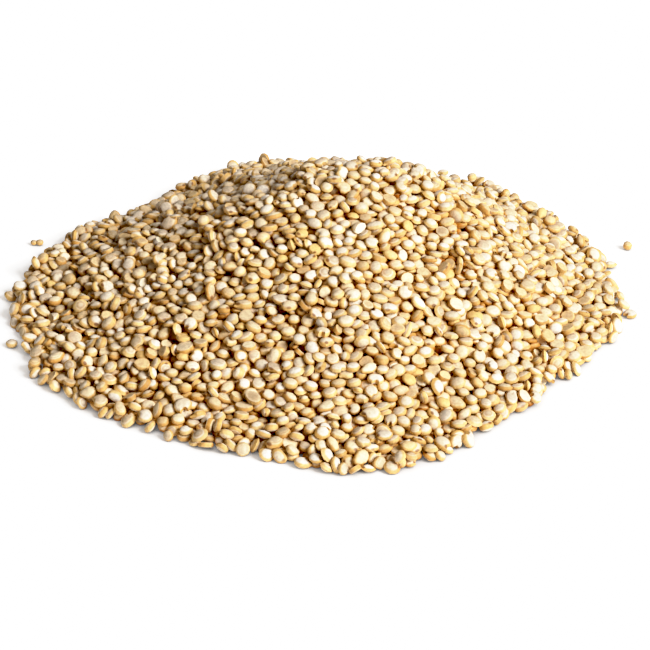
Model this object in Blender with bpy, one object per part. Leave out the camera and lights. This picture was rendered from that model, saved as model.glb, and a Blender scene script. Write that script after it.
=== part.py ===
"""A heap of dry white quinoa as it was poured on a table, with two grains that rolled clear of it.

The heap is one solid: a low cone whose whole surface is bumps of one grain each, with whole grains
fused on, round its edge and over its slopes. Z is up and the table is at z = 0. The heap is looked
at from -Y, with +X to the right. Lengths are in metres.
"""

import math
import random

import bmesh
import bpy
from mathutils import Euler, Vector
from mathutils.geometry import delaunay_2d_cdt

MM = 0.001

# One grain is a thick round lens.
GRAIN_WIDTH = 2.1 * MM
GRAIN_THICKNESS = 1.3 * MM
FACE_SHARE = 0.55
SHOULDER_SHARE = 0.9
SHOULDER_HEIGHT_SHARE = 0.6

# The heap's edge on the table is a circle that is pushed out or drawn in round some directions.
# Each lobe is its direction and its spread in degrees, and how far the edge moves. Each ripple is
# its number of waves round the edge and how far they reach.
EDGE_RADIUS = 49.8 * MM
EDGE_LOBES = (
    (279, 19, 5.6 * MM),
    (320, 14, -1.6 * MM),
    (218, 28, 2.6 * MM),
    (180, 20, 0.9 * MM),
    (137, 21, -5.8 * MM),
    (75, 40, -2.2 * MM),
    (345, 25, 0.8 * MM),
)
EDGE_RIPPLES = ((11, 0.35 * MM), (19, 0.25 * MM))

# The surface falls from a rounded peak to one grain's thickness at the edge. The peak lies off the
# middle by these shares of the edge's radius, towards +X and +Y.
PEAK_HEIGHT = 22.8 * MM
PEAK_SHARES = (0.09, 0.02)
EDGE_HEIGHT = 1.25 * MM
PEAK_ROUNDING = 0.14
TOE_FLARE = 1.12
SWELL_FADE = 6
# Each swell is its place, its spread and how far it lifts the surface.
SWELLS = (
    (19 * MM, 6 * MM, 10 * MM, 2.8 * MM),
    (-8 * MM, -3 * MM, 6 * MM, 0.9 * MM),
    (-17 * MM, 5 * MM, 8 * MM, -1.0 * MM),
    (-21 * MM, -10 * MM, 8 * MM, -1.2 * MM),
    (4 * MM, -28 * MM, 12 * MM, 1.2 * MM),
    (-22 * MM, -28 * MM, 9 * MM, 1.0 * MM),
    (28 * MM, -20 * MM, 12 * MM, 1.0 * MM),
)

# The relief has one bump for each grain that shows, and an outermost ring of them at the edge.
BUMP_PITCH = 2.68 * MM
BUMP_JITTER_SHARE = 0.28
BUMP_UNEVEN = 0.32 * MM
BUMP_DEPTH = 0.8 * MM
LOWEST_VALLEY = 0.45 * MM
RING_PITCH = 2.6 * MM
RING_JITTER_SHARE = 0.15
RING_UNEVEN = 0.3 * MM
RING_ROOM_SHARE = 0.72
WIDEST_SHARE = 1.2
NOTCH_DEPTH = 0.6 * MM
WAIST_HEIGHT = 0.6 * MM
FOOT_INSET = 0.3 * MM

# Whole grains are fused on, some against the edge and one in place of every so many bumps.
FUSED_SIDES = 6
EDGE_GRAINS = 24
EDGE_GRAIN_SPREAD = 0.4
EDGE_GRAIN_REACH = 0.45 * MM
EDGE_GRAIN_TILT = 12
SLOPE_GRAIN_STEP = 6
SLOPE_GRAIN_SHIFT = 2
SLOPE_GRAIN_PROUD = 0.35 * MM
SLOPE_GRAIN_TILT = 34
PIT_DEPTH = 0.7 * MM
FLOOR_GAP = 0.06 * MM

# Each grain that lies apart is its name, its place on the table, its width, its thickness and its turn
# in degrees.
STRAY_SIDES = 14
STRAY_SHARP_ANGLE = 50
STRAYS = (
    ("stray_grain_left", (-49.2 * MM, 17.2 * MM), 2.3 * MM, 1.15 * MM, 20),
    ("stray_grain_right", (53.5 * MM, 15.6 * MM), 1.7 * MM, 1.1 * MM, -35),
)

HEAP_COLOUR = (0.60, 0.41, 0.20)
STRAY_COLOUR = (0.62, 0.43, 0.22)
SEED_COAT_ROUGHNESS = 0.6

SEED = 11


def clear_scene():
    for obj in list(bpy.data.objects):
        bpy.data.objects.remove(obj, do_unlink=True)


def seed_coat(name, colour):
    """The dry matt skin of a grain."""
    material = bpy.data.materials.new(name)
    material.use_nodes = True
    shader = material.node_tree.nodes["Principled BSDF"]
    shader.inputs["Base Color"].default_value = (*colour, 1)
    shader.inputs["Roughness"].default_value = SEED_COAT_ROUGHNESS
    shader.inputs["Metallic"].default_value = 0
    material.diffuse_color = (*colour, 1)
    return material


def edge_radius(angle):
    """Distance from the middle to the heap's edge on the table, in that direction."""
    radius = EDGE_RADIUS
    for direction, spread, extra in EDGE_LOBES:
        turn = (math.degrees(angle) - direction + 180) % 360 - 180
        radius += extra * math.exp(-((turn / spread) ** 2))
    for waves, size in EDGE_RIPPLES:
        radius += size * math.sin(waves * angle + waves)
    return radius


def slope_share(x, y):
    """0 at the peak and 1 at the edge, along circles that grow from the one to the other."""
    radius = edge_radius(math.atan2(y, x))
    place = Vector((x, y)) / radius
    peak = Vector(PEAK_SHARES)
    away = place - peak
    lean = away.dot(peak)
    spare = 1 - peak.length_squared
    return (lean + math.sqrt(lean * lean + spare * away.length_squared)) / spare


def surface_height(x, y):
    """Height of the grains' tops above the table."""
    share = min(1.0, slope_share(x, y))
    rounded = math.hypot(share, PEAK_ROUNDING)
    top, bottom = PEAK_ROUNDING, math.hypot(1, PEAK_ROUNDING)
    fall = ((bottom - rounded) / (bottom - top)) ** TOE_FLARE
    height = EDGE_HEIGHT + (PEAK_HEIGHT - EDGE_HEIGHT) * fall
    for middle_x, middle_y, spread, lift in SWELLS:
        distance = math.hypot(x - middle_x, y - middle_y)
        height += lift * math.exp(-((distance / spread) ** 2)) * (1 - share**SWELL_FADE)
    return max(EDGE_HEIGHT, height)


def surface_normal(x, y):
    step = GRAIN_WIDTH
    across = surface_height(x + step, y) - surface_height(x - step, y)
    along = surface_height(x, y + step) - surface_height(x, y - step)
    return Vector((-across, -along, 2 * step)).normalized()


def edge_bumps(rng):
    """The outermost grains: their tops, and the outline that goes round each and in between them."""
    count = round(math.tau * EDGE_RADIUS / RING_PITCH)
    step = math.tau / count
    tops, outline = [], []
    for number in range(count):
        angle = step * (number + rng.uniform(-1, 1) * RING_JITTER_SHARE)
        reach = edge_radius(angle) + rng.uniform(-1, 1) * RING_UNEVEN
        across = Vector((math.cos(angle), math.sin(angle)))
        tops.append(across * (reach - GRAIN_WIDTH / 2))
        outline.append(across * reach)
        between = step * (number + 0.5)
        notch = edge_radius(between) - NOTCH_DEPTH - rng.uniform(0, 1) * RING_UNEVEN
        outline.append(Vector((math.cos(between), math.sin(between))) * notch)
    return tops, outline


def slope_bumps(rng):
    """The tops of the other grains, on a loose honeycomb, and which of them are whole grains."""
    tops, whole = [], []
    row_pitch = BUMP_PITCH * math.sqrt(3) / 2
    most = math.ceil(WIDEST_SHARE * EDGE_RADIUS / row_pitch)
    jitter = BUMP_JITTER_SHARE * BUMP_PITCH
    for row in range(-most, most + 1):
        for column in range(-most, most + 1):
            x = (column + 0.5 * (row % 2)) * BUMP_PITCH + rng.uniform(-jitter, jitter)
            y = row * row_pitch + rng.uniform(-jitter, jitter)
            room = edge_radius(math.atan2(y, x)) - GRAIN_WIDTH / 2 - math.hypot(x, y)
            if room < RING_ROOM_SHARE * BUMP_PITCH:
                continue
            shift = SLOPE_GRAIN_SHIFT * (row // SLOPE_GRAIN_STEP)
            whole.append(row % SLOPE_GRAIN_STEP == 0 and (column + shift) % SLOPE_GRAIN_STEP == 0)
            tops.append(Vector((x, y)))
    return tops, whole


def relief_mesh(rng):
    """The core as a closed bmesh, and the places of the whole grains. It has bumps above, a waisted
    edge and a flat base, and a pit where each whole grain goes."""
    ring, outline = edge_bumps(rng)
    tops, whole = slope_bumps(rng)
    pits = [top for top, is_whole in zip(tops, whole) if is_whole]
    flat = outline + ring + tops
    first_top = len(outline) + len(ring)
    loop = list(range(len(outline)))
    edges = [(n, (n + 1) % len(loop)) for n in loop]
    points, _, triangles, *_ = delaunay_2d_cdt(flat, edges, [loop], 1, 1e-7)

    mesh = bmesh.new()
    raised = []
    for number, point in enumerate(points):
        if number < len(outline):
            height = WAIST_HEIGHT
        elif number >= first_top and whole[number - first_top]:
            height = surface_height(*point) - PIT_DEPTH
        else:
            height = surface_height(*point) + rng.uniform(-1, 1) * BUMP_UNEVEN
        raised.append(mesh.verts.new((*point, height)))
    valleys = {}
    sides = {}
    for number, corners in enumerate(triangles):
        middle = sum((points[n] for n in corners), Vector((0, 0))) / 3
        height = max(LOWEST_VALLEY, surface_height(*middle) - BUMP_DEPTH)
        valleys[number] = mesh.verts.new((*middle, height))
        for start, end in zip(corners, corners[1:] + corners[:1]):
            sides[start, end] = number
    for (start, end), number in sides.items():
        beyond = sides.get((end, start))
        if beyond is None:
            mesh.faces.new((raised[start], raised[end], valleys[number]))
        else:
            mesh.faces.new((raised[start], valleys[beyond], valleys[number]))
    close_below(mesh, raised[: len(outline)])
    return mesh, pits


def close_below(mesh, waist):
    """Runs a wall from the outline in to the table, and closes it with the flat base."""
    foot = []
    for vert in waist:
        inward = Vector((vert.co.x, vert.co.y)).normalized() * FOOT_INSET
        foot.append(mesh.verts.new((vert.co.x - inward.x, vert.co.y - inward.y, 0)))
    for number, vert in enumerate(waist):
        after = (number + 1) % len(waist)
        mesh.faces.new((vert, foot[number], foot[after], waist[after]))
    mesh.faces.new(tuple(reversed(foot)))


def grain_mesh(sides, width, thickness, rings):
    """A lens as a closed bmesh. Each ring is its share of the radius and of half the thickness."""
    mesh = bmesh.new()
    loops = []
    for radius_share, height_share in rings:
        loop = []
        for number in range(sides):
            angle = math.tau * number / sides
            radius = radius_share * width / 2
            place = (radius * math.cos(angle), radius * math.sin(angle))
            loop.append(mesh.verts.new((*place, height_share * thickness / 2)))
        loops.append(loop)
    mesh.faces.new(loops[0])
    mesh.faces.new(tuple(reversed(loops[-1])))
    for upper, lower in zip(loops, loops[1:]):
        for number in range(sides):
            after = (number + 1) % sides
            mesh.faces.new((upper[number], lower[number], lower[after], upper[after]))
    return mesh


def add_object(name, mesh, material=None, collection=None):
    data = bpy.data.meshes.new(name)
    bmesh.ops.recalc_face_normals(mesh, faces=mesh.faces)
    mesh.to_mesh(data)
    mesh.free()
    obj = bpy.data.objects.new(name, data)
    (collection or bpy.context.scene.collection).objects.link(obj)
    if material:
        data.materials.append(material)
    return obj


def add_fused_grain(collection, place, up, tilt, turn):
    """One whole grain for the union, its flat side square to up and then tilted."""
    rings = ((FACE_SHARE, 1), (1, 0), (FACE_SHARE, -1))
    mesh = grain_mesh(FUSED_SIDES, GRAIN_WIDTH, GRAIN_THICKNESS, rings)
    stand = up.to_track_quat("Z", "Y") @ Euler((tilt, 0, turn)).to_quaternion()
    bmesh.ops.rotate(mesh, matrix=stand.to_matrix(), verts=mesh.verts)
    lowest = min(vert.co.z for vert in mesh.verts)
    place = Vector((place.x, place.y, max(place.z, FLOOR_GAP - lowest)))
    bmesh.ops.translate(mesh, vec=place, verts=mesh.verts)
    return add_object("fused_grain", mesh, collection=collection)


def edge_grains(collection, rng):
    """Grains that lie on the table against the edge."""
    for number in range(EDGE_GRAINS):
        angle = math.tau * (number + rng.uniform(-1, 1) * EDGE_GRAIN_SPREAD) / EDGE_GRAINS
        reach = edge_radius(angle) + EDGE_GRAIN_REACH * rng.uniform(0, 1)
        place = Vector((reach * math.cos(angle), reach * math.sin(angle), 0))
        tilt = math.radians(rng.uniform(-1, 1) * EDGE_GRAIN_TILT)
        add_fused_grain(collection, place, Vector((0, 0, 1)), tilt, rng.uniform(0, math.tau))


def slope_grains(collection, pits, rng):
    """Whole grains in their pits, a little proud of the bumps round them."""
    for x, y in pits:
        middle = surface_height(x, y) + SLOPE_GRAIN_PROUD - GRAIN_THICKNESS / 2
        place = Vector((x, y, middle))
        tilt = math.radians(rng.uniform(-1, 1) * SLOPE_GRAIN_TILT)
        add_fused_grain(collection, place, surface_normal(x, y), tilt, rng.uniform(0, math.tau))


def keep_largest_island(obj):
    """Drops loose scraps and fills hollows that the union sealed."""
    mesh = bmesh.new()
    mesh.from_mesh(obj.data)
    unseen = set(mesh.verts)
    islands = []
    while unseen:
        reached = [unseen.pop()]
        island = set(reached)
        while reached:
            vert = reached.pop()
            for edge in vert.link_edges:
                other = edge.other_vert(vert)
                if other in unseen:
                    unseen.remove(other)
                    island.add(other)
                    reached.append(other)
        islands.append(island)
    islands.sort(key=len)
    scraps = [vert for island in islands[:-1] for vert in island]
    bmesh.ops.delete(mesh, geom=scraps, context="VERTS")
    bmesh.ops.triangulate(mesh, faces=mesh.faces)
    mesh.to_mesh(obj.data)
    mesh.free()


def add_heap(material):
    rng = random.Random(SEED)
    core, pits = relief_mesh(rng)
    heap = add_object("quinoa_heap", core, material)
    grains = bpy.data.collections.new("fused_grains")
    bpy.context.scene.collection.children.link(grains)
    edge_grains(grains, rng)
    slope_grains(grains, pits, rng)

    union = heap.modifiers.new("fuse", "BOOLEAN")
    union.operation = "UNION"
    union.operand_type = "COLLECTION"
    union.collection = grains
    union.solver = "EXACT"
    bpy.context.view_layer.objects.active = heap
    bpy.ops.object.modifier_apply(modifier=union.name)
    for grain in list(grains.objects):
        bpy.data.objects.remove(grain, do_unlink=True)
    bpy.data.collections.remove(grains)
    keep_largest_island(heap)
    heap.data.materials.clear()
    heap.data.materials.append(material)
    return heap


def add_stray(name, place, width, thickness, turn, material):
    """A grain on its own, flat on the table."""
    rings = (
        (FACE_SHARE, 1),
        (SHOULDER_SHARE, SHOULDER_HEIGHT_SHARE),
        (1, 0),
        (SHOULDER_SHARE, -SHOULDER_HEIGHT_SHARE),
        (FACE_SHARE, -1),
    )
    grain = add_object(name, grain_mesh(STRAY_SIDES, width, thickness, rings), material)
    grain.location = (*place, thickness / 2)
    grain.rotation_euler.z = math.radians(turn)
    grain.data.shade_smooth()
    grain.data.set_sharp_from_angle(angle=math.radians(STRAY_SHARP_ANGLE))
    return grain


def centre_on_table(objects):
    """Puts the middle of the box round all the objects over the origin."""
    bpy.context.view_layer.update()
    corners = [obj.matrix_world @ vert.co for obj in objects for vert in obj.data.vertices]
    for axis in (0, 1):
        values = [corner[axis] for corner in corners]
        middle = (min(values) + max(values)) / 2
        for obj in objects:
            obj.location[axis] -= middle


def main():
    clear_scene()
    objects = [add_heap(seed_coat("heap_seed_coat", HEAP_COLOUR))]
    for name, place, width, thickness, turn in STRAYS:
        material = seed_coat(name + "_seed_coat", STRAY_COLOUR)
        objects.append(add_stray(name, place, width, thickness, turn, material))
    centre_on_table(objects)


main()
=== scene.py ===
"""A heap of dry white quinoa as it was poured: thousands of modelled grains, settled round the form of
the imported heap, and the tiny grains that lie clear of it.

Lengths are in metres and angles in degrees.
"""

import itertools
import math

import bpy
import numpy as np
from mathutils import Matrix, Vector
from mathutils.bvhtree import BVHTree


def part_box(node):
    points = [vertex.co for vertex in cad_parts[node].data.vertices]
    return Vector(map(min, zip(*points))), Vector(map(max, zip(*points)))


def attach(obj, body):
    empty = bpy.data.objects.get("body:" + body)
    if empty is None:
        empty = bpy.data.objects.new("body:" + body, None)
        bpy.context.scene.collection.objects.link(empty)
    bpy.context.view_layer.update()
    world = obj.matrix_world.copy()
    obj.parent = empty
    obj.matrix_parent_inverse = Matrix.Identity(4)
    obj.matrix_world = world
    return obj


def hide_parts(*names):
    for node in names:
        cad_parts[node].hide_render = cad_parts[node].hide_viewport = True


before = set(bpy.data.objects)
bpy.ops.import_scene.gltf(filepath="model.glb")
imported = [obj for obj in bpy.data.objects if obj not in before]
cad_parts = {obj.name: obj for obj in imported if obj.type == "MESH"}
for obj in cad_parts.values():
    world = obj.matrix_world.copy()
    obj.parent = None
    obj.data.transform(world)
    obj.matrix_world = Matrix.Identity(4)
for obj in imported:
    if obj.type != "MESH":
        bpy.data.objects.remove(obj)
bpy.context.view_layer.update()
bpy.ops.object.select_all(action="DESELECT")

MM = 0.001

# The camera looks down on the middle of the heap's front. Its sensor's width is in millimetres.
CAMERA_DISTANCE = 380 * MM
CAMERA_ELEVATION = 30
CAMERA_AIM = Vector((0.0, -7.0, 0.0)) * MM
CAMERA_NEAREST = 10 * MM
PIXELS_PER_MM = 6.1
FRAME_PIXELS = 650
SENSOR_WIDTH = 36

# Where single grains show in the photo, in its pixels: just clear of the heap's edge, and standing
# proud of its crest. They are looked for this far along the line of sight, to both sides of the aim.
EDGE_PIXELS = ((12, 298), (12, 345), (610, 266), (630, 315))
CREST_PIXELS = ((291, 156), (243, 165), (377, 156), (419, 162), (443, 162), (513, 191))
SIGHT_REACH = 70 * MM
SIGHT_STEPS = 1400

# The nodes of the grains that lie clear of the heap. The left one stands for two tiny seeds, which lie
# this share of its width to either side of its middle, and the right one for a single seed. The heap's
# grains keep this much room round them, and they are this much thicker than most.
STRAYS = (("stray_grain_left", 0.23), ("stray_grain_right", 0.0))
STRAY_ROOM = 4.4 * MM
STRAY_THICKNESS = 1.3

# Grain sizes across the flat side, and how thick a grain is as a share of that.
GRAIN_WIDTH = 2.22 * MM
WIDTH_SPREAD = 0.17 * MM
WIDTH_LIMITS = (1.75 * MM, 2.6 * MM)
THICKNESS_SHARE = 0.52

# The grid that holds the heap's form, how far the form is smoothed, and the height from which a point
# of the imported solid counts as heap. The heap's edge is where this share of the ground round it does.
FORM_CELL = 0.8 * MM
FORM_BLUR_CELLS = 2.2
FORM_MARGIN = 4 * MM
HEAP_HEIGHT = 0.2 * MM
EDGE_SHARE = 0.62

# The least share that a height is divided by, and how far from the grid's end a sample stays.
LEAST_SHARE = 1e-6
LAST_CELL = 1.001

# The layer of real grains: rows of grains over each other, above a core that they hide. A row that dips
# under the table is lifted to the lowest site, unless it has sunk too far.
LAYERS = 3
LAYER_DEPTH = 1.15 * MM
SITE_PITCH = 2.22 * MM
SITE_JITTER = 0.3 * MM
CORE_DEPTH = 3.6 * MM
LOWEST_SITE = 0.3 * MM
SUNK_SITE = -0.6 * MM

# The loose grains over the top row, which lie in clumps: their share of that row, how much higher they
# start, and how wide a clump is.
LOOSE_SHARE = 0.22
LOOSE_RISE = 0.35 * MM
CLUMP_CELLS = 3

# How the grains start to lie: flat side up, each with a lean of its own, and a few nearly on edge.
TILT_SPREAD = 15
ON_EDGE_SHARE = 0.1
ON_EDGE_LEANS = (60, 90)

# How the grains settle: step by step, each a little down and out of its neighbours.
SETTLE_STEPS = 170
REST_STEPS = 60
PAIRS_EVERY = 8
PAIR_REACH = 2.75 * MM
DROP = 0.03 * MM
PUSH_SHARE = 0.32
TURN_SHARE = 0.2
ANCHOR_SHARE = 0.04
MOST_MOVE = 0.25 * MM
MOST_TURN = 0.12
LEAST_DISTANCE = 1e-9

# The overlap model's shape factor for a grain: 0 for a ball, and nearer -1 the flatter it is.
FLATNESS = (THICKNESS_SHARE**2 - 1) / (THICKNESS_SHARE**2 + 1)

# What counts as a grain that lies over another, by the line between them. With more of them than the
# first number a grain is buried, and with more than the second it is left out.
COVER_REACH = 2.6 * MM
COVER_RISE = 0.7 * MM
COVER_BESIDE = 1.15 * MM
MOST_COVERS = 1
DEEPEST_COVERS = 3

# The ball that each seed is modelled from, how near a ring's height its points lie, and how wide the
# small seed is beside the others.
BALL_SIDES = 12
BALL_RINGS = 6
RING_REACH = 0.02
SMALL_WIDTH = 0.78

# How uneven the copies of a seed are, and the angle from which their edges show as sharp.
WARP_WAVES = 1.3
WARP_SIZE = 0.065
STRETCH_SPREAD = 0.09
EDGE_ANGLE = 55

# The core under the grains: a square grid, whose side the heap's diagonal is this many times. Off the
# heap its points are marked by a height that no other point has.
CORE_CELLS = 170
CORE_DIAGONAL = 1.41
CORE_SINK = 2.9 * MM
CORE_LOWEST = 0.6 * MM
CORE_RELIEF = 0.9 * MM
OFF_HEAP = -1

# The seed coat's blotches, and its fine wrinkles, drawn coarser than the real ones so that they show.
BLOTCH_SIZE = 0.45 * MM
BLOTCH_DETAIL = 3.0
WRINKLE_SIZE = 0.42 * MM
WRINKLE_DETAIL = 2.0
WRINKLE_DEPTH = 0.06 * MM
WRINKLE_STRENGTH = 0.5
COAT_ROUGHNESS = 0.52
COAT_SHEEN = 0.22
BURIED_SHEEN = 0.05

# Where a seed's coat changes, on a seed of radius 1: what each mark has from none of it to all of it, by
# the height over the rim, or by the distance from the face's centre or from the hilum. The rim's band is
# partly the germ's own colour and partly painted shade of the grain's sides, and the groove's line is
# painted shade.
RIM_AND_SIDE_SHADE = {"From Min": 0.74, "From Max": 0.4}
GROOVE_ABOVE = {"From Min": 0.9, "From Max": 0.78}
GROOVE_BELOW = {"From Min": 0.6, "From Max": 0.78}
CLEAR_REACH = {"From Min": 0.62, "From Max": 0.3}
HILUM_REACH = {"From Min": 0.42, "From Max": 0.2}
HILUM_PLACE = (0.86, 0.1, 0.5)

# Which of a grain's chance values give it a clear middle, a groove's painted shade, a ripe yellow coat or
# a brown hilum, and how strong that gets.
CLEAR_CHANCES = {"From Min": 0.4, "From Max": 1.0, "To Max": 0.8}
GROOVE_CHANCES = {"From Min": 0.4, "From Max": 1.0, "To Max": 0.6}
YELLOW_CHANCES = {"From Min": 0.97, "From Max": 0.985}
HILUM_CHANCES = {"From Min": 0.46, "From Max": 0.3, "To Max": 0.85}

# How light each grain is beside the others, and each blotch beside its own grain.
GRAIN_TONES = {"To Min": 0.82, "To Max": 1.0}
BLOTCH_TONES = {"From Min": 0.3, "From Max": 0.7, "To Min": 0.78, "To Max": 1.08}

# Painted shade between the grains: how deep under the heap's top a point begins to darken, and where only
# the darkest brown is left. Then how far the heap's top is smoothed for it, how much the darkened colour
# deepens, and its tint.
PAINTED_SHADE_DEPTHS = (0.7 * MM, 2.4 * MM)
PAINTED_SHADE_BLUR_CELLS = 1.6
PAINTED_SHADE_GAMMA = {"To Min": 1.0, "To Max": 1.3}
PAINTED_SHADE_TINT = "EFCB96"

# The colours of each coat: its faces at their palest and at their most straw-like, then its rim's two. The
# buried coat's are darker and browner than the others': painted shade for the grains that show only
# through the gaps.
IVORY = ("F3E7D6", "EACFA6", "E3BC7C", "D19F56")
GOLDEN = ("EFDBB6", "E2BD87", "DAAC68", "C88F48")
BURIED_PAINTED_SHADE = ("DDB880", "C0904E", "B88448", "946030")
CLEAR_MIDDLE = "BCA585"
# The groove's tan is painted shade of a groove between face and rim, which is not modelled.
GROOVE_PAINTED_SHADE = "A67A42"
RIPE_YELLOW = "E9BC74"
HILUM_BROWN = "5F3416"

# The meal inside a broken grain.
MEAL_CREAM = "DCC9A4"
MEAL_WHITE = "EEDFC2"
CRUMB_DETAIL = 4.0
MEAL_ROUGHNESS = 0.9

# The table. It glows a little so that it shows white, and less so close round what stands on it, where its
# white is darkened too: a painted contact shadow, by ambient occlusion.
FLOOR_SIZE = 6
TABLE_WHITE = "F8F8F8"
TABLE_ROUGHNESS = 0.8
GLOW_WHITE = "FFFFFF"
FLOOR_GLOW = 0.75
PAINTED_SHADOW_REACH = 20 * MM
PAINTED_SHADOW_DEPTH = 0.9

# The light: a warm room, dim all round and brightest along its direction, and one large lamp.
ROOM_LIGHT = {"To Min": 0.07, "To Max": 0.42}
ROOM_COLOUR = "FFE4C2"
ROOM_DIRECTION = (1.0, -0.6, 0.15)
KEY_DIRECTION = (0.75, -0.55, 0.65)
KEY_DISTANCE = 0.9
KEY_SIZE = 0.45
KEY_POWER = 18.4

# The picture's tones, as light in and light shown: the deepest darks go black, and bright ones roll off
# to white as on film.
BLACK_LEVEL = 0.011
ROLL_OFF = ((0.5, 0.49), (1.0, 0.87), (1.45, 0.98), (1.75, 1.02))

# Settings that several nodes share. A Mix node's sockets for colours go by number, because its sockets
# for numbers have the same names.
BLEND = {"data_type": "RGBA"}
TINT = {"data_type": "RGBA", "blend_type": "MULTIPLY"}
EASE = {"interpolation_type": "SMOOTHSTEP"}
TIMES = {"operation": "MULTIPLY"}
COLOUR_A = 6
COLOUR_B = 7
MIXED = 2

CHANCE_SEED = 5


def srgb(code):
    """A linear colour from an sRGB hex code."""
    channels = [int(code[n : n + 2], 16) / 255 for n in (0, 2, 4)]
    linear = [c / 12.92 if c <= 0.04045 else ((c + 0.055) / 1.055) ** 2.4 for c in channels]
    return (*linear, 1)


def add_node(tree, kind, settings=None, inputs=None, output=None):
    """Adds a node. Each input is a value, or the output that is linked to it. Returns the node, or the
    output of it that is asked for."""
    node = tree.nodes.new(kind)
    for name, value in (settings or {}).items():
        setattr(node, name, value)
    for socket, value in (inputs or {}).items():
        if isinstance(value, bpy.types.NodeSocket):
            tree.links.new(value, node.inputs[socket])
        else:
            node.inputs[socket].default_value = value
    return node if output is None else node.outputs[output]


def heap_form():
    """The height of the heap's surface over a grid on the table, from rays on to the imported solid,
    smoothed over a few of its bumps. Just off the heap the grid holds the height of its nearest edge."""
    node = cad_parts["quinoa_heap"]
    low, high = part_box("quinoa_heap")
    corners = [vert.co for vert in node.data.vertices]
    tree = BVHTree.FromPolygons(corners, [face.vertices for face in node.data.polygons])
    start = np.array(low[:2]) - FORM_MARGIN
    counts = np.ceil((np.array(high[:2]) + FORM_MARGIN - start) / FORM_CELL).astype(int) + 1
    height = np.zeros(counts)
    for column, row in np.ndindex(*counts):
        place = Vector((*(start + FORM_CELL * np.array((column, row))), high.z + FORM_MARGIN))
        hit = tree.ray_cast(place, Vector((0, 0, -1)))[0]
        height[column, row] = hit.z if hit else 0
    inside = height > HEAP_HEIGHT
    share = blurred(inside.astype(float))
    smooth = blurred(height) / np.maximum(share, LEAST_SHARE)
    slope_x, slope_y = np.gradient(smooth, FORM_CELL)
    return {"start": start, "height": smooth, "share": share, "slope_x": slope_x, "slope_y": slope_y}


def blurred(values, cells=FORM_BLUR_CELLS):
    """The values of a grid, smoothed over so many cells."""
    reach = math.ceil(3 * cells)
    kernel = np.exp(-((np.arange(-reach, reach + 1) / cells) ** 2) / 2)
    kernel /= kernel.sum()
    for axis in (0, 1):
        values = np.apply_along_axis(np.convolve, axis, values, kernel, mode="same")
    return values


def sampled(form, name, places):
    """A layer of the form at each place, between its grid's points."""
    grid = form[name]
    at = (places[:, :2] - form["start"]) / FORM_CELL
    at = np.clip(at, 0, np.array(grid.shape) - LAST_CELL)
    column, row = at.astype(int).T
    right, up = (at - np.floor(at)).T
    near = grid[column, row] * (1 - right) + grid[column + 1, row] * right
    far = grid[column, row + 1] * (1 - right) + grid[column + 1, row + 1] * right
    return near * (1 - up) + far * up


def form_normals(form, places):
    """Which way the form's surface faces at each place."""
    slope = [-sampled(form, name, places) for name in ("slope_x", "slope_y")]
    normals = np.stack([*slope, np.ones(len(places))], axis=1)
    return normals / np.linalg.norm(normals, axis=1)[:, None]


def grain_sites(form, rng):
    """Where each grain starts: rows of a loose honeycomb, one layer of them under the other. Where a row
    would dip under the table it is lifted on to it, so the heap's edge is as thick as it falls."""
    span = np.array(form["height"].shape) * FORM_CELL
    row_pitch = SITE_PITCH * math.sqrt(3) / 2
    layers = []
    for layer in range(LAYERS):
        columns, rows = np.meshgrid(np.arange(span[0] / SITE_PITCH), np.arange(span[1] / row_pitch))
        shift = rng.uniform(0, SITE_PITCH, 2)
        x = (columns + 0.5 * (rows % 2)) * SITE_PITCH + shift[0]
        y = rows * row_pitch + shift[1]
        flat = np.stack([x.ravel(), y.ravel()], axis=1) + form["start"]
        flat += rng.normal(0, SITE_JITTER, flat.shape)
        normals = form_normals(form, flat)
        depth = (0.5 + layer) * LAYER_DEPTH / normals[:, 2]
        height = sampled(form, "height", flat) - depth + rng.normal(0, SITE_JITTER / 2, len(flat))
        fits = (sampled(form, "share", flat) > EDGE_SHARE) & (height > SUNK_SITE) & clear_of_strays(flat)
        layers.append(np.column_stack([flat, np.maximum(height, LOWEST_SITE)])[fits])
    clumps = blurred(rng.normal(size=form["height"].shape), CLUMP_CELLS)
    clumps = sampled({"start": form["start"], "clumps": clumps / clumps.std()}, "clumps", layers[0])
    loose = layers[0][rng.random(len(layers[0])) < LOOSE_SHARE * (1 + clumps)]
    layers.append(loose + (SITE_PITCH / 2, 0, LOOSE_RISE + LAYER_DEPTH / 2))
    return np.concatenate([*layers, seen_sites(form)])


def clear_of_strays(flat):
    """Which places on the table leave room for the grains that lie clear of the heap."""
    clear = np.ones(len(flat), dtype=bool)
    for node, _ in STRAYS:
        low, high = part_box(node)
        clear &= np.linalg.norm(flat - np.array((low + high) / 2)[:2], axis=1) > STRAY_ROOM
    return clear


def camera_frame():
    """The camera's place, and which way it looks back, right and up."""
    elevation = math.radians(CAMERA_ELEVATION)
    back = Vector((0, -math.cos(elevation), math.sin(elevation)))
    right = Vector((1, 0, 0))
    return CAMERA_AIM + back * CAMERA_DISTANCE, back, right, back.cross(right)


def sight_line(pixel):
    """Points along the line of sight through a pixel, from above the heap's front to behind it."""
    eye, back, right, up = camera_frame()
    focal = PIXELS_PER_MM * CAMERA_DISTANCE / MM
    middle = FRAME_PIXELS / 2
    ray = right * ((pixel[0] - middle) / focal) + up * ((middle - pixel[1]) / focal) - back
    lengths = np.linspace(CAMERA_DISTANCE - SIGHT_REACH, CAMERA_DISTANCE + SIGHT_REACH, SIGHT_STEPS)
    return np.array(eye) + lengths[:, None] * np.array(ray)


def seen_sites(form):
    """Where the grains start that the photo shows on their own."""
    sites = []
    for pixel in EDGE_PIXELS:
        line = sight_line(pixel)
        sites.append(line[np.argmin(np.abs(line[:, 2] - LOWEST_SITE))])
    for pixel in CREST_PIXELS:
        line = sight_line(pixel)
        above = line[:, 2] - sampled(form, "height", line)
        above[sampled(form, "share", line) < EDGE_SHARE] = np.inf
        sites.append(line[np.argmin(above)])
    return np.array(sites)


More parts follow.
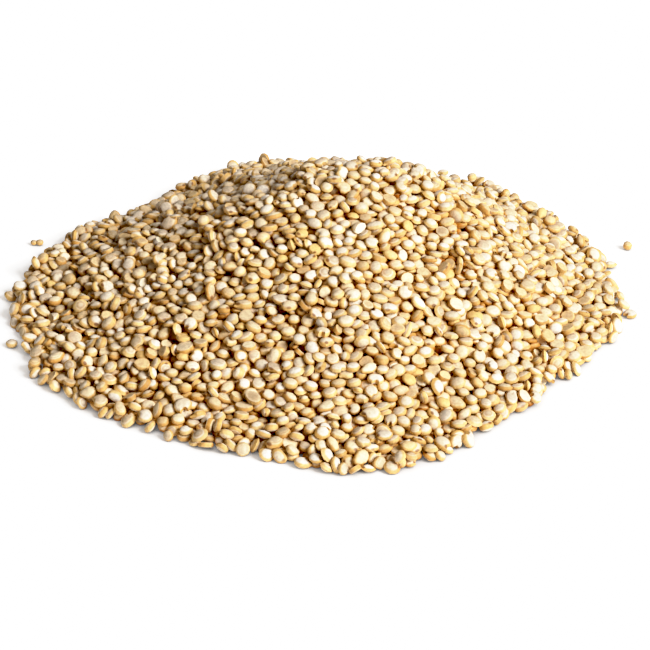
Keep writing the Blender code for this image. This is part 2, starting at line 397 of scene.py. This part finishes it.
def near_pairs(places, reach):
    """Each two grains that are nearer than reach, found through a grid of cells that wide."""
    cells = np.floor((places - places.min(axis=0)) / reach).astype(np.int64) + 1
    size = cells.max(axis=0) + 2
    keys = (cells[:, 0] * size[1] + cells[:, 1]) * size[2] + cells[:, 2]
    order = np.argsort(keys, kind="stable")
    firsts, seconds = [], []
    for step in itertools.product((-1, 0, 1), repeat=3):
        if step < (0, 0, 0):
            continue
        wanted = keys + (step[0] * size[1] + step[1]) * size[2] + step[2]
        begin = np.searchsorted(keys[order], wanted, "left")
        count = np.searchsorted(keys[order], wanted, "right") - begin
        first = np.repeat(np.arange(len(places)), count)
        within = np.arange(len(first)) - np.repeat(np.cumsum(count) - count, count)
        second = order[np.repeat(begin, count) + within]
        if step == (0, 0, 0):
            first, second = first[first < second], second[first < second]
        firsts.append(first)
        seconds.append(second)
    first, second = np.concatenate(firsts), np.concatenate(seconds)
    near = np.linalg.norm(places[second] - places[first], axis=1) < reach
    return first[near], second[near]


def gathered(count, index, values):
    """The sum of the values that belong to each grain."""
    return np.stack([np.bincount(index, values[:, axis], count) for axis in range(3)], axis=1)


def pair_contacts(places, axes, halves, first, second):
    """The moves and turns that take grains out of each other. Two of them touch where the Gaussian
    overlap model for flattened balls says, by how their axes lie to the line between them."""
    apart = places[second] - places[first]
    distance = np.maximum(np.linalg.norm(apart, axis=1), LEAST_DISTANCE)
    toward = apart / distance[:, None]
    one = np.einsum("ij,ij->i", toward, axes[first])
    other = np.einsum("ij,ij->i", toward, axes[second])
    both = np.einsum("ij,ij->i", axes[first], axes[second])
    plus = (one + other) / (1 + FLATNESS * both)
    minus = (one - other) / (1 - FLATNESS * both)
    shape = 1 - FLATNESS / 2 * (plus * (one + other) + minus * (one - other))
    width = halves[first] + halves[second]
    overlap = np.maximum(0, width / np.sqrt(shape) - distance)

    push = (PUSH_SHARE * overlap)[:, None] * toward
    moves = gathered(len(places), second, push) - gathered(len(places), first, push)
    lever = TURN_SHARE * overlap * FLATNESS / 4 * width / shape**1.5 / (width / 2) ** 2
    first_slope = 2 * plus[:, None] * toward - FLATNESS * (plus**2)[:, None] * axes[second]
    first_slope += 2 * minus[:, None] * toward + FLATNESS * (minus**2)[:, None] * axes[second]
    second_slope = 2 * plus[:, None] * toward - FLATNESS * (plus**2)[:, None] * axes[first]
    second_slope -= 2 * minus[:, None] * toward - FLATNESS * (minus**2)[:, None] * axes[first]
    turns = -gathered(len(places), first, lever[:, None] * first_slope)
    turns -= gathered(len(places), second, lever[:, None] * second_slope)
    return moves, turns


def ground_contacts(places, axes, halves, level, normals):
    """The same for a surface under each grain, which passes through the height level there."""
    lean = np.einsum("ij,ij->i", axes, normals)
    reach = halves * np.sqrt(1 - (1 - THICKNESS_SHARE**2) * lean**2)
    depth = np.maximum(0, reach - (places[:, 2] - level) * normals[:, 2])
    slope = -halves**2 * (1 - THICKNESS_SHARE**2) * lean / reach
    moves = depth[:, None] * normals
    turns = -(TURN_SHARE * depth * slope / halves**2)[:, None] * normals
    return moves, turns


def settled(form, rng):
    """Drops the grains on the core and the table until they rest on each other, each by its own size
    and lean. Returns their places, the axes that their flat sides face along, and half widths."""
    places = grain_sites(form, rng)
    count = len(places)
    halves = np.clip(rng.normal(GRAIN_WIDTH, WIDTH_SPREAD, count), *WIDTH_LIMITS) / 2
    up = np.tile((0.0, 0.0, 1.0), (count, 1))
    axes = leaning(up, rng)
    home = places.copy()
    for step in range(SETTLE_STEPS + REST_STEPS):
        if step % PAIRS_EVERY == 0:
            first, second = near_pairs(places, PAIR_REACH)
        moves, turns = pair_contacts(places, axes, halves, first, second)
        core_level = sampled(form, "height", places) - CORE_DEPTH
        for level, normals in ((core_level, form_normals(form, places)), (0.0, up)):
            more_moves, more_turns = ground_contacts(places, axes, halves, level, normals)
            moves += more_moves
            turns += more_turns
        if step < SETTLE_STEPS:
            moves[:, 2] -= DROP * (1 - step / SETTLE_STEPS)
            moves[:, :2] += ANCHOR_SHARE * (home - places)[:, :2]
        places += np.clip(moves, -MOST_MOVE, MOST_MOVE)
        axes += np.clip(turns, -MOST_TURN, MOST_TURN)
        axes /= np.linalg.norm(axes, axis=1)[:, None]
    return places, axes, halves


def leaning(up, rng):
    """Axes that lean away from up by chance: most a little, and a few right over on edge."""
    count = len(up)
    lean = np.radians(np.abs(rng.normal(0, TILT_SPREAD, count)))
    on_edge = rng.random(count) < ON_EDGE_SHARE
    lean[on_edge] = np.radians(rng.uniform(*ON_EDGE_LEANS, on_edge.sum()))
    aside = np.cross(up, rng.normal(size=(count, 3)))
    aside /= np.linalg.norm(aside, axis=1)[:, None]
    return np.cos(lean)[:, None] * up + np.sin(lean)[:, None] * aside


def cover_counts(places, form):
    """How many grains lie over each one, near the line that leaves the heap square to its surface."""
    first, second = near_pairs(places, COVER_REACH)
    first, second = np.concatenate([first, second]), np.concatenate([second, first])
    normals = form_normals(form, places)[first]
    apart = places[second] - places[first]
    above = np.einsum("ij,ij->i", apart, normals)
    beside = np.linalg.norm(apart - above[:, None] * normals, axis=1)
    covers = (above > COVER_RISE) & (beside < COVER_BESIDE)
    return np.bincount(first[covers], minlength=len(places))


def add_top_level(form, places, axes, halves):
    """Adds to the form the level of the settled grains' tops, for telling how deep a point lies, which
    sets its painted shade.
    """
    reach = halves * np.sqrt(1 - (1 - THICKNESS_SHARE**2) * axes[:, 2] ** 2)
    top = np.maximum(0, form["height"] - CORE_DEPTH)
    column, row = np.round((places[:, :2] - form["start"]) / FORM_CELL).astype(int).T
    np.maximum.at(top, (column, row), places[:, 2] + reach)
    form["top"] = top
    for step in itertools.product((-1, 0, 1), repeat=2):
        form["top"] = np.maximum(form["top"], np.roll(top, step, axis=(0, 1)))
    form["top"] = blurred(form["top"], PAINTED_SHADE_BLUR_CELLS)


def painted_shade_at(form, points):
    """How much painted shade each point gets from lying between grains: 0 at the heap's top and 1 deep
    down.
    """
    depth = (sampled(form, "top", points) - points[:, 2]) * form_normals(form, points)[:, 2]
    share = np.clip((depth - PAINTED_SHADE_DEPTHS[0]) / (PAINTED_SHADE_DEPTHS[1] - PAINTED_SHADE_DEPTHS[0]), 0, 1)
    return share * share * (3 - 2 * share)


def select_places(obj, chosen):
    """Selects the vertices that chosen says, by their place, for the next edit."""
    bpy.ops.object.mode_set(mode="OBJECT")
    for part in (*obj.data.polygons, *obj.data.edges):
        part.select = False
    for vert in obj.data.vertices:
        vert.select = bool(chosen(vert.co))
    bpy.ops.object.mode_set(mode="EDIT")
    bpy.ops.mesh.select_mode(type="VERT")


def start_ball(name, sides=BALL_SIDES, rings=BALL_RINGS):
    """A ball of radius 1 round the origin, with its poles on Z, open in edit mode."""
    bpy.ops.object.select_all(action="DESELECT")
    bpy.ops.mesh.primitive_uv_sphere_add(segments=sides, ring_count=rings, radius=1)
    ball = bpy.context.active_object
    ball.name = name
    bpy.ops.object.mode_set(mode="EDIT")
    return ball


def swell_rings(ball, *shares, rings=BALL_RINGS):
    """Widens and lifts the ball's rings above and below its middle, from the poles down. Each ring has its
    new radius and its new height, as shares of the old ones."""
    for number, (wider, higher) in enumerate(shares, start=1):
        height = math.cos(math.pi * number / rings)
        select_places(ball, lambda at, height=height: abs(abs(at.z) - height) < RING_REACH)
        bpy.ops.transform.resize(value=(wider, wider, higher), center_override=(0, 0, 0))


def move_places(ball, chosen, shift, size=(1, 1, 1)):
    """Resizes the vertices that chosen says about the ball's middle, and shifts them."""
    select_places(ball, chosen)
    bpy.ops.transform.resize(value=size, center_override=(0, 0, 0))
    bpy.ops.transform.translate(value=shift)


def end_seed(seed):
    """Leaves edit mode with the faces pointing out."""
    bpy.ops.mesh.select_all(action="SELECT")
    bpy.ops.mesh.normals_make_consistent(inside=False)
    bpy.ops.object.mode_set(mode="OBJECT")
    return seed


def plump_seed():
    """The usual grain: a thick round lens with a full rim."""
    seed = start_ball("plump_seed")
    swell_rings(seed, (1.2, 0.92), (1.04, 0.9))
    return end_seed(seed)


def beaked_seed():
    """A grain whose root tip stands out at the rim, with a notch beside it."""
    seed = start_ball("beaked_seed")
    swell_rings(seed, (1.2, 0.9), (1.04, 0.92))
    # The root tip, the notch beside it, and the rim on its other side.
    move_places(seed, lambda at: at.x > 0.9 and abs(at.y) < 0.1, (0.2, -0.05, 0), (1, 1, 0.7))
    move_places(seed, lambda at: at.x > 0.7 and 0.3 < at.y < 0.7, (-0.24, -0.1, 0), (1, 1, 0.8))
    move_places(seed, lambda at: at.x > 0.7 and -0.7 < at.y < -0.3, (0.04, 0, 0))
    return end_seed(seed)


def ringed_seed():
    """A thinner grain whose germ stands up as a ring round a dished face."""
    seed = start_ball("ringed_seed")
    swell_rings(seed, (1.16, 0.84), (1.05, 1.26))
    # The dish in each face, and the flatter side where the ring's ends meet.
    move_places(seed, lambda at: abs(at.z) > 0.99, (0, 0, 0), (1, 1, 0.68))
    move_places(seed, lambda at: at.x > 0.75 and abs(at.y) < 0.62, (-0.14, 0, 0), (1, 0.9, 1))
    return end_seed(seed)


def edged_seed():
    """A lens that thins to a clear edge all round."""
    seed = start_ball("edged_seed")
    swell_rings(seed, (1.12, 0.86), (0.99, 0.7))
    move_places(seed, lambda at: abs(at.z) < 0.1, (0, 0, 0), (1.07, 1.0, 1))
    return end_seed(seed)


def oval_seed():
    """A longer, thicker grain that swells to one end."""
    seed = start_ball("oval_seed")
    swell_rings(seed, (1.2, 0.92), (1.04, 0.92))
    move_places(seed, lambda at: True, (0, 0, 0), (1.13, 0.86, 1.1))
    move_places(seed, lambda at: at.x > 0.3, (0.05, 0, 0), (1, 0.84, 0.88))
    return end_seed(seed)


def notched_seed():
    """A grain whose germ curls round like a C, with a deep notch where its ends meet."""
    seed = start_ball("notched_seed")
    swell_rings(seed, (1.22, 0.92), (1.06, 1.06))
    # The notch, the rings above and below it, and the germ's end beside it.
    move_places(seed, lambda at: at.x > 0.75 and abs(at.y) < 0.1, (-0.5, 0, 0), (1, 1, 0.62))
    move_places(seed, lambda at: at.x > 0.3 and abs(at.y) < 0.1, (-0.1, 0, 0), (1, 1, 0.7))
    move_places(seed, lambda at: at.x > 0.7 and 0.3 < at.y < 0.7, (0.06, -0.12, 0))
    return end_seed(seed)


def small_seed():
    """A small round grain, nearly a ball."""
    seed = start_ball("small_seed", sides=10)
    swell_rings(seed, (1.16, 1.02), (1.04, 1.06))
    move_places(seed, lambda at: True, (0, 0, 0), (SMALL_WIDTH, SMALL_WIDTH * 0.95, 1.0))
    return end_seed(seed)


def broken_seed():
    """A grain that broke across, so that its mealy white inside shows."""
    seed = start_ball("broken_seed")
    swell_rings(seed, (1.2, 0.96), (1.05, 1.0))
    bpy.ops.mesh.select_all(action="SELECT")
    cut = {"plane_co": (0.28, 0, 0), "plane_no": (0.9, 0.25, 0.3)}
    bpy.ops.mesh.bisect(**cut, use_fill=True, clear_outer=True)
    seed = end_seed(seed)
    # The face that the cut left has many corners, and shows the meal.
    for face in seed.data.polygons:
        face.material_index = int(len(face.vertices) > 4)
    return seed


def buried_seed():
    """A plain lens for the grains that show only through the gaps between others."""
    seed = start_ball("buried_seed", sides=9, rings=5)
    swell_rings(seed, (1.12, 1.04), (1.04, 1.2), rings=5)
    return end_seed(seed)


# Each kind of grain is its modelled seed, its share of the grains, its size and its thickness beside
# the usual ones. Grains that lie deep are of the buried kind, whichever they drew.
KINDS = (
    ("plump_grains", plump_seed, 0.26, 1.0, 1.08),
    ("beaked_grains", beaked_seed, 0.18, 1.0, 1.04),
    ("ringed_grains", ringed_seed, 0.09, 1.03, 0.94),
    ("edged_grains", edged_seed, 0.22, 1.0, 1.1),
    ("oval_grains", oval_seed, 0.13, 1.0, 1.04),
    ("notched_grains", notched_seed, 0.07, 1.03, 1.0),
    ("small_grains", small_seed, 0.04, 1.0, 1.2),
    ("broken_grains", broken_seed, 0.01, 1.0, 1.0),
)
BURIED_KIND = ("buried_grains", buried_seed, 0.0, 1.0, 1.0)


def turned_frames(axes, rng):
    """For each grain its three directions: two across its flat side, turned by chance, and its axis."""
    across = np.cross(axes, rng.normal(size=axes.shape))
    across /= np.linalg.norm(across, axis=1)[:, None]
    return np.stack([across, np.cross(axes, across), axes], axis=2)


def warped(corners, count, rng):
    """The seed's corners for each copy, each copy a little uneven in a way of its own."""
    waves = rng.normal(0, WARP_WAVES, (count, 3, 3))
    phases = rng.uniform(0, math.tau, (count, 1, 3))
    swing = np.sin(np.einsum("vi,nij->nvj", corners, waves) + phases)
    stretch = 1 + rng.normal(0, STRETCH_SPREAD, (count, 1, 3))
    return corners * stretch * (1 + WARP_SIZE * swing)


def keep_on_points(mesh, name, kind, values):
    """Keeps values on the mesh's points, for its material to read."""
    layer = mesh.attributes.new(name, kind, "POINT")
    field = {"FLOAT": "value", "FLOAT_VECTOR": "vector", "FLOAT_COLOR": "color"}[kind]
    layer.data.foreach_set(field, np.asarray(values, dtype=np.float32).ravel())


def joined_grains(name, model, places, axes, halves, thicker, rng, form=None):
    """One mesh of a copy of the modelled seed at each place. Every point keeps its place on its
    own grain, for the pattern of the seed coat, chance values that all of its grain shares, and
    its painted shade."""
    seed = model()
    corners = np.array([vert.co for vert in seed.data.vertices])
    count = len(places)
    own = warped(corners, count, rng)
    size = np.stack([halves, halves, halves * THICKNESS_SHARE * thicker], axis=1)
    points = np.einsum("nij,nvj->nvi", turned_frames(axes, rng), own * size[:, None, :])
    points += places[:, None, :]
    points[:, :, 2] = np.maximum(points[:, :, 2], 0)

    faces = [tuple(face.vertices) for face in seed.data.polygons]
    step = len(corners)
    copied = [tuple(corner + n * step for corner in face) for n in range(count) for face in faces]
    mesh = bpy.data.meshes.new(name)
    mesh.from_pydata(points.reshape(-1, 3).tolist(), [], copied)
    slots = np.tile([face.material_index for face in seed.data.polygons], count)
    mesh.polygons.foreach_set("material_index", slots.astype(np.int32))
    mesh.shade_smooth()
    mesh.set_sharp_from_angle(angle=math.radians(EDGE_ANGLE))

    keep_on_points(mesh, "on_grain", "FLOAT_VECTOR", np.tile(corners, (count, 1)))
    keep_on_points(mesh, "chance", "FLOAT_COLOR", np.repeat(rng.random((count, 4)), step, axis=0))
    if form:
        keep_on_points(mesh, "painted_shade", "FLOAT", painted_shade_at(form, points.reshape(-1, 3)))
    grains = bpy.data.objects.new(name, mesh)
    bpy.context.scene.collection.objects.link(grains)
    bpy.data.objects.remove(seed)
    return grains


def coat_colour(tree, place, pale, straw, rim_pale, rim_straw):
    """The colour of a seed coat, from where a point lies on its grain and the four chance values that
    the grain drew. It is made as its faces, its rim, which is partly painted shade of the grain's sides,
    its groove, which is painted shade, its blotches and its hilum."""
    chance = add_node(tree, "ShaderNodeAttribute", {"attribute_name": "chance"}).outputs
    draws = add_node(tree, "ShaderNodeSeparateColor", None, {"Color": chance["Color"]}).outputs
    red, green, blue, alpha = draws["Red"], draws["Green"], draws["Blue"], chance["Alpha"]
    on_grain = add_node(tree, "ShaderNodeAttribute", {"attribute_name": "on_grain"}, output="Vector")

    face = add_node(
        tree, "ShaderNodeMix", BLEND, {"Factor": red, COLOUR_A: srgb(straw), COLOUR_B: srgb(pale)}, MIXED
    )
    across = add_node(tree, "ShaderNodeVectorMath", TIMES, {0: on_grain, 1: (1, 1, 0)}, "Vector")
    from_axis = add_node(tree, "ShaderNodeVectorMath", {"operation": "LENGTH"}, {0: across}, "Value")
    middle = add_node(tree, "ShaderNodeMapRange", EASE, {"Value": from_axis, **CLEAR_REACH}, "Result")
    clear = add_node(tree, "ShaderNodeMapRange", EASE, {"Value": alpha, **CLEAR_CHANCES}, "Result")
    clear = add_node(tree, "ShaderNodeMath", TIMES, {0: middle, 1: clear}, "Value")
    face = add_node(
        tree, "ShaderNodeMix", BLEND,
        {"Factor": clear, COLOUR_A: face, COLOUR_B: srgb(CLEAR_MIDDLE)}, MIXED,
    )

    # The rim: a golden band round the grain's sides, partly the germ under it and partly painted shade.
    rim = add_node(
        tree, "ShaderNodeMix", BLEND,
        {"Factor": green, COLOUR_A: srgb(rim_straw), COLOUR_B: srgb(rim_pale)}, MIXED,
    )
    height = add_node(tree, "ShaderNodeSeparateXYZ", None, {"Vector": on_grain}, "Z")
    height = add_node(tree, "ShaderNodeMath", {"operation": "ABSOLUTE"}, {0: height}, "Value")
    rim_and_side_shade = add_node(tree, "ShaderNodeMapRange", EASE, {"Value": height, **RIM_AND_SIDE_SHADE}, "Result")
    coat = add_node(tree, "ShaderNodeMix", BLEND, {"Factor": rim_and_side_shade, COLOUR_A: face, COLOUR_B: rim}, MIXED)

    # The groove: a darker tan line, painted shade of a groove that is not modelled.
    above = add_node(tree, "ShaderNodeMapRange", EASE, {"Value": height, **GROOVE_ABOVE}, "Result")
    below = add_node(tree, "ShaderNodeMapRange", EASE, {"Value": height, **GROOVE_BELOW}, "Result")
    groove_shade = add_node(tree, "ShaderNodeMath", TIMES, {0: above, 1: below}, "Value")
    deep = add_node(tree, "ShaderNodeMapRange", EASE, {"Value": alpha, **GROOVE_CHANCES}, "Result")
    groove_shade = add_node(tree, "ShaderNodeMath", TIMES, {0: groove_shade, 1: deep}, "Value")
    coat = add_node(
        tree, "ShaderNodeMix", BLEND,
        {"Factor": groove_shade, COLOUR_A: coat, COLOUR_B: srgb(GROOVE_PAINTED_SHADE)}, MIXED,
    )
    ripe = add_node(tree, "ShaderNodeMapRange", EASE, {"Value": red, **YELLOW_CHANCES}, "Result")
    coat = add_node(
        tree, "ShaderNodeMix", BLEND,
        {"Factor": ripe, COLOUR_A: coat, COLOUR_B: srgb(RIPE_YELLOW)}, MIXED,
    )

    blotches = add_node(
        tree, "ShaderNodeTexNoise", None,
        {"Vector": place, "Scale": 1 / BLOTCH_SIZE, "Detail": BLOTCH_DETAIL}, "Fac",
    )
    blotches = add_node(tree, "ShaderNodeMapRange", EASE, {"Value": blotches, **BLOTCH_TONES}, "Result")
    tone = add_node(tree, "ShaderNodeMapRange", EASE, {"Value": blue, **GRAIN_TONES}, "Result")
    tone = add_node(tree, "ShaderNodeMath", TIMES, {0: blotches, 1: tone}, "Value")
    mottled = add_node(
        tree, "ShaderNodeVectorMath", {"operation": "SCALE"}, {0: coat, "Scale": tone}, "Vector"
    )

    from_hilum = add_node(
        tree, "ShaderNodeVectorMath", {"operation": "DISTANCE"}, {0: on_grain, 1: HILUM_PLACE}, "Value"
    )
    spot = add_node(tree, "ShaderNodeMapRange", EASE, {"Value": from_hilum, **HILUM_REACH}, "Result")
    brown = add_node(tree, "ShaderNodeMapRange", EASE, {"Value": green, **HILUM_CHANCES}, "Result")
    spot = add_node(tree, "ShaderNodeMath", TIMES, {0: spot, 1: brown}, "Value")
    return add_node(
        tree, "ShaderNodeMix", BLEND,
        {"Factor": spot, COLOUR_A: mottled, COLOUR_B: srgb(HILUM_BROWN)}, MIXED,
    )


def seed_coat(name, colours, sheen=COAT_SHEEN):
    """Dry quinoa seed coat: a thin papery skin over white meal. Its faces are ivory to straw, and on
    some grains clear and greyer in the middle. Its rim is golden, partly where the germ lies under it
    and partly as painted shade of the grain's sides, and on some grains the hilum is a small brown dot
    beside the root tip. Between the grains it is painted darker and browner, as painted shade."""
    material = bpy.data.materials.new(name)
    material.use_nodes = True
    tree = material.node_tree
    shader = tree.nodes["Principled BSDF"]
    place = add_node(tree, "ShaderNodeTexCoord", output="Object")
    colour = coat_colour(tree, place, *colours)
    # Painted shade: the deeper a point lies between the grains, the darker and browner its colour.
    painted_shade = add_node(tree, "ShaderNodeAttribute", {"attribute_name": "painted_shade"}, output="Fac")
    gamma = add_node(tree, "ShaderNodeMapRange", EASE, {"Value": painted_shade, **PAINTED_SHADE_GAMMA}, "Result")
    deep = add_node(tree, "ShaderNodeGamma", None, {"Color": colour, "Gamma": gamma}, "Color")
    deep = add_node(
        tree, "ShaderNodeMix", TINT, {"Factor": painted_shade, COLOUR_A: deep, COLOUR_B: srgb(PAINTED_SHADE_TINT)}, MIXED
    )
    wrinkles = add_node(
        tree, "ShaderNodeTexNoise", None,
        {"Vector": place, "Scale": 1 / WRINKLE_SIZE, "Detail": WRINKLE_DETAIL}, "Fac",
    )
    bump = add_node(
        tree, "ShaderNodeBump", None,
        {"Height": wrinkles, "Strength": WRINKLE_STRENGTH, "Distance": WRINKLE_DEPTH}, "Normal",
    )
    tree.links.new(deep, shader.inputs["Base Color"])
    tree.links.new(bump, shader.inputs["Normal"])
    shader.inputs["Roughness"].default_value = COAT_ROUGHNESS
    shader.inputs["Specular IOR Level"].default_value = sheen
    return material


def mealy_inside():
    """The white starch inside a broken grain: chalky and matt, mottled white and cream."""
    material = bpy.data.materials.new("white_meal")
    material.use_nodes = True
    tree = material.node_tree
    shader = tree.nodes["Principled BSDF"]
    place = add_node(tree, "ShaderNodeTexCoord", output="Object")
    crumbs = add_node(
        tree, "ShaderNodeTexNoise", None,
        {"Vector": place, "Scale": 1 / WRINKLE_SIZE, "Detail": CRUMB_DETAIL}, "Fac",
    )
    colour = add_node(
        tree, "ShaderNodeMix", BLEND,
        {"Factor": crumbs, COLOUR_A: srgb(MEAL_CREAM), COLOUR_B: srgb(MEAL_WHITE)}, MIXED,
    )
    tree.links.new(colour, shader.inputs["Base Color"])
    shader.inputs["Roughness"].default_value = MEAL_ROUGHNESS
    return material


def core_mound(form):
    """The mound under the grains, coloured with the darkest painted shade. It has bumps of their size, so
    that a gap shows more of the heap.
    """
    low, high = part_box("quinoa_heap")
    middle = (low + high) / 2
    bpy.ops.object.select_all(action="DESELECT")
    bpy.ops.mesh.primitive_grid_add(
        x_subdivisions=CORE_CELLS, y_subdivisions=CORE_CELLS, size=(high - low).xy.length / CORE_DIAGONAL
    )
    core = bpy.context.active_object
    core.name = "heap_core"
    points = np.array([vert.co for vert in core.data.vertices]) + np.array((middle.x, middle.y, 0))
    points[:, 2] = sampled(form, "height", points) - CORE_SINK
    points[sampled(form, "share", points) < EDGE_SHARE, 2] = OFF_HEAP
    core.data.vertices.foreach_set("co", points.ravel())
    select_places(core, lambda at: at.z < CORE_LOWEST)
    bpy.ops.mesh.delete(type="VERT")
    bpy.ops.object.mode_set(mode="OBJECT")

    bumps = bpy.data.textures.new("core_bumps", "VORONOI")
    bumps.noise_scale = SITE_PITCH
    relief = core.modifiers.new("bumps", "DISPLACE")
    relief.texture = bumps
    relief.texture_coords = "LOCAL"
    relief.strength = -CORE_RELIEF
    relief.mid_level = 0.5
    bpy.ops.object.modifier_apply(modifier=relief.name)
    bpy.data.textures.remove(bumps)

    bpy.ops.object.mode_set(mode="EDIT")
    bpy.ops.mesh.select_all(action="SELECT")
    bpy.ops.mesh.region_to_loop()
    bpy.ops.mesh.extrude_edges_move()
    bpy.ops.transform.resize(value=(1, 1, 0), center_override=(0, 0, 0))
    bpy.ops.mesh.edge_face_add()
    end_seed(core)
    core.data.shade_smooth()
    # The whole core takes the darkest painted shade.
    keep_on_points(core.data, "painted_shade", "FLOAT", np.ones(len(core.data.vertices)))
    return core


def dress(piece, coats, slot, *nodes):
    """Gives a piece its seed coats, hangs it on the heap's one body and hides the imported parts that it
    stands for.
    """
    for coat in coats:
        piece.data.materials.append(coat)
    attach(piece, "root")
    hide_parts(*nodes)


def add_heap(coats, rng):
    """The heap: each kind of grain where it shows, the buried ones under them, and the core."""
    form = heap_form()
    places, axes, halves = settled(form, rng)
    add_top_level(form, places, axes, halves)
    covers = cover_counts(places, form)
    shown = covers <= MOST_COVERS
    drawn = rng.choice(len(KINDS), len(places), p=[share for _, _, share, _, _ in KINDS])
    chosen = [shown & (drawn == number) for number in range(len(KINDS))]
    chosen.append(~shown & (covers <= DEEPEST_COVERS))
    for mine, (name, model, _, size, thicker) in zip(chosen, (*KINDS, BURIED_KIND)):
        sizes = halves[mine] * size
        grains = joined_grains(name, model, places[mine], axes[mine], sizes, thicker, rng, form)
        dress(grains, coats[name], "heap_seed_coat", "quinoa_heap")
    dress(core_mound(form), coats["heap_core"], "heap_seed_coat", "quinoa_heap")


def add_strays(coats, rng):
    """The grains that lie clear of the heap, each in its own solid's place: two tiny ones that touch to
    the left, and a small one to the right."""
    for node, share in STRAYS:
        low, high = (np.array(corner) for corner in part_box(node))
        size = high - low
        aside = np.array((share * size[0], 0, 0))
        middle = (low + high) / 2
        places = np.array([middle - aside, middle + aside] if share else [middle])
        halves = np.full(len(places), (0.5 - share) * size[0]) / SMALL_WIDTH
        places[:, 2] = halves * THICKNESS_SHARE * STRAY_THICKNESS
        axes = np.tile((0.0, 0.0, 1.0), (len(places), 1))
        name = node + "_seed"
        grains = joined_grains(name, small_seed, places, axes, halves, STRAY_THICKNESS, rng)
        dress(grains, coats, "stray_seed_coat", node)


def seed_coats():
    """The coats of each piece. Broken grains show their meal as well."""
    ivory = seed_coat("ivory_seed_coat", IVORY)
    golden = seed_coat("golden_seed_coat", GOLDEN)
    # The buried coat is a darker, browner copy of the others: painted shade.
    buried_painted_shade = seed_coat("buried_seed_coat_painted_shade", BURIED_PAINTED_SHADE, BURIED_SHEEN)
    meal = mealy_inside()
    names = ("plump_grains", "beaked_grains", "edged_grains", "small_grains", "notched_grains")
    coats = {name: (ivory,) for name in names}
    coats.update({name: (golden,) for name in ("ringed_grains", "oval_grains", "strays")})
    coats.update({name: (buried_painted_shade,) for name in ("buried_grains", "heap_core")})
    coats["broken_grains"] = (ivory, meal)
    return coats


def add_table():
    """A matt white table top, with a painted soft shadow where the grains stand on it."""
    bpy.ops.object.select_all(action="DESELECT")
    bpy.ops.mesh.primitive_plane_add(size=FLOOR_SIZE)
    floor = bpy.context.active_object
    floor.name = "white_table"
    material = bpy.data.materials.new("white_table_top")
    material.use_nodes = True
    tree = material.node_tree
    shader = tree.nodes["Principled BSDF"]
    # Painted contact shadow: ambient occlusion darkens the table's white and dims its glow close round the
    # grains.
    painted_shadow = add_node(
        tree, "ShaderNodeAmbientOcclusion", None, {"Color": srgb(TABLE_WHITE), "Distance": PAINTED_SHADOW_REACH}
    ).outputs
    glow = add_node(
        tree, "ShaderNodeMath", {"operation": "POWER"}, {0: painted_shadow["AO"], 1: PAINTED_SHADOW_DEPTH}, "Value"
    )
    glow = add_node(tree, "ShaderNodeMath", TIMES, {0: glow, 1: FLOOR_GLOW}, "Value")
    tree.links.new(painted_shadow["Color"], shader.inputs["Base Color"])
    tree.links.new(glow, shader.inputs["Emission Strength"])
    shader.inputs["Roughness"].default_value = TABLE_ROUGHNESS
    shader.inputs["Emission Color"].default_value = srgb(GLOW_WHITE)
    floor.data.materials.append(material)


def add_room():
    """A warm, dim room, brightest along one direction."""
    world = bpy.data.worlds.new("warm_room")
    world.use_nodes = True
    tree = world.node_tree
    background = tree.nodes["Background"]
    background.inputs["Color"].default_value = srgb(ROOM_COLOUR)
    looking = add_node(tree, "ShaderNodeTexCoord", output="Generated")
    along = add_node(
        tree, "ShaderNodeVectorMath", {"operation": "DOT_PRODUCT"},
        {0: looking, 1: tuple(Vector(ROOM_DIRECTION).normalized())}, "Value",
    )
    strength = add_node(tree, "ShaderNodeMapRange", EASE, {"Value": along, **ROOM_LIGHT}, "Result")
    tree.links.new(strength, background.inputs["Strength"])
    bpy.context.scene.world = world


def add_lamp():
    """One large round lamp to the front right."""
    data = bpy.data.lights.new("key_light", "AREA")
    data.shape = "DISK"
    data.size = KEY_SIZE
    data.energy = KEY_POWER
    lamp = bpy.data.objects.new("key_light", data)
    bpy.context.scene.collection.objects.link(lamp)
    away = Vector(KEY_DIRECTION).normalized()
    lamp.location = CAMERA_AIM + away * KEY_DISTANCE
    lamp.rotation_euler = away.to_track_quat("Z", "Y").to_euler()


def add_camera():
    """A camera where the photo was taken from."""
    data = bpy.data.cameras.new("photo_camera")
    data.sensor_width = SENSOR_WIDTH
    data.lens = PIXELS_PER_MM * CAMERA_DISTANCE / MM / FRAME_PIXELS * SENSOR_WIDTH
    data.clip_start = CAMERA_NEAREST
    camera = bpy.data.objects.new("photo_camera", data)
    bpy.context.scene.collection.objects.link(camera)
    camera.location, back, _, _ = camera_frame()
    camera.rotation_euler = back.to_track_quat("Z", "Y").to_euler()
    bpy.context.scene.camera = camera


def set_tones():
    """Shows the scene through a photo's tone curve."""
    view = bpy.context.scene.view_settings
    view.view_transform = "Standard"
    view.use_curve_mapping = True
    curves = view.curve_mapping
    curves.extend = "HORIZONTAL"
    curves.clip_max_x, curves.clip_max_y = ROLL_OFF[-1]
    curves.black_level = (BLACK_LEVEL,) * 3
    for channel in curves.curves[:3]:
        channel.points[1].location = ROLL_OFF[-1]
        for place in ROLL_OFF[:-1]:
            channel.points.new(*place)
    curves.update()


def main():
    rng = np.random.default_rng(CHANCE_SEED)
    coats = seed_coats()
    add_heap(coats, rng)
    add_strays(coats["strays"], rng)
    add_table()
    add_room()
    add_lamp()
    add_camera()
    set_tones()


main()
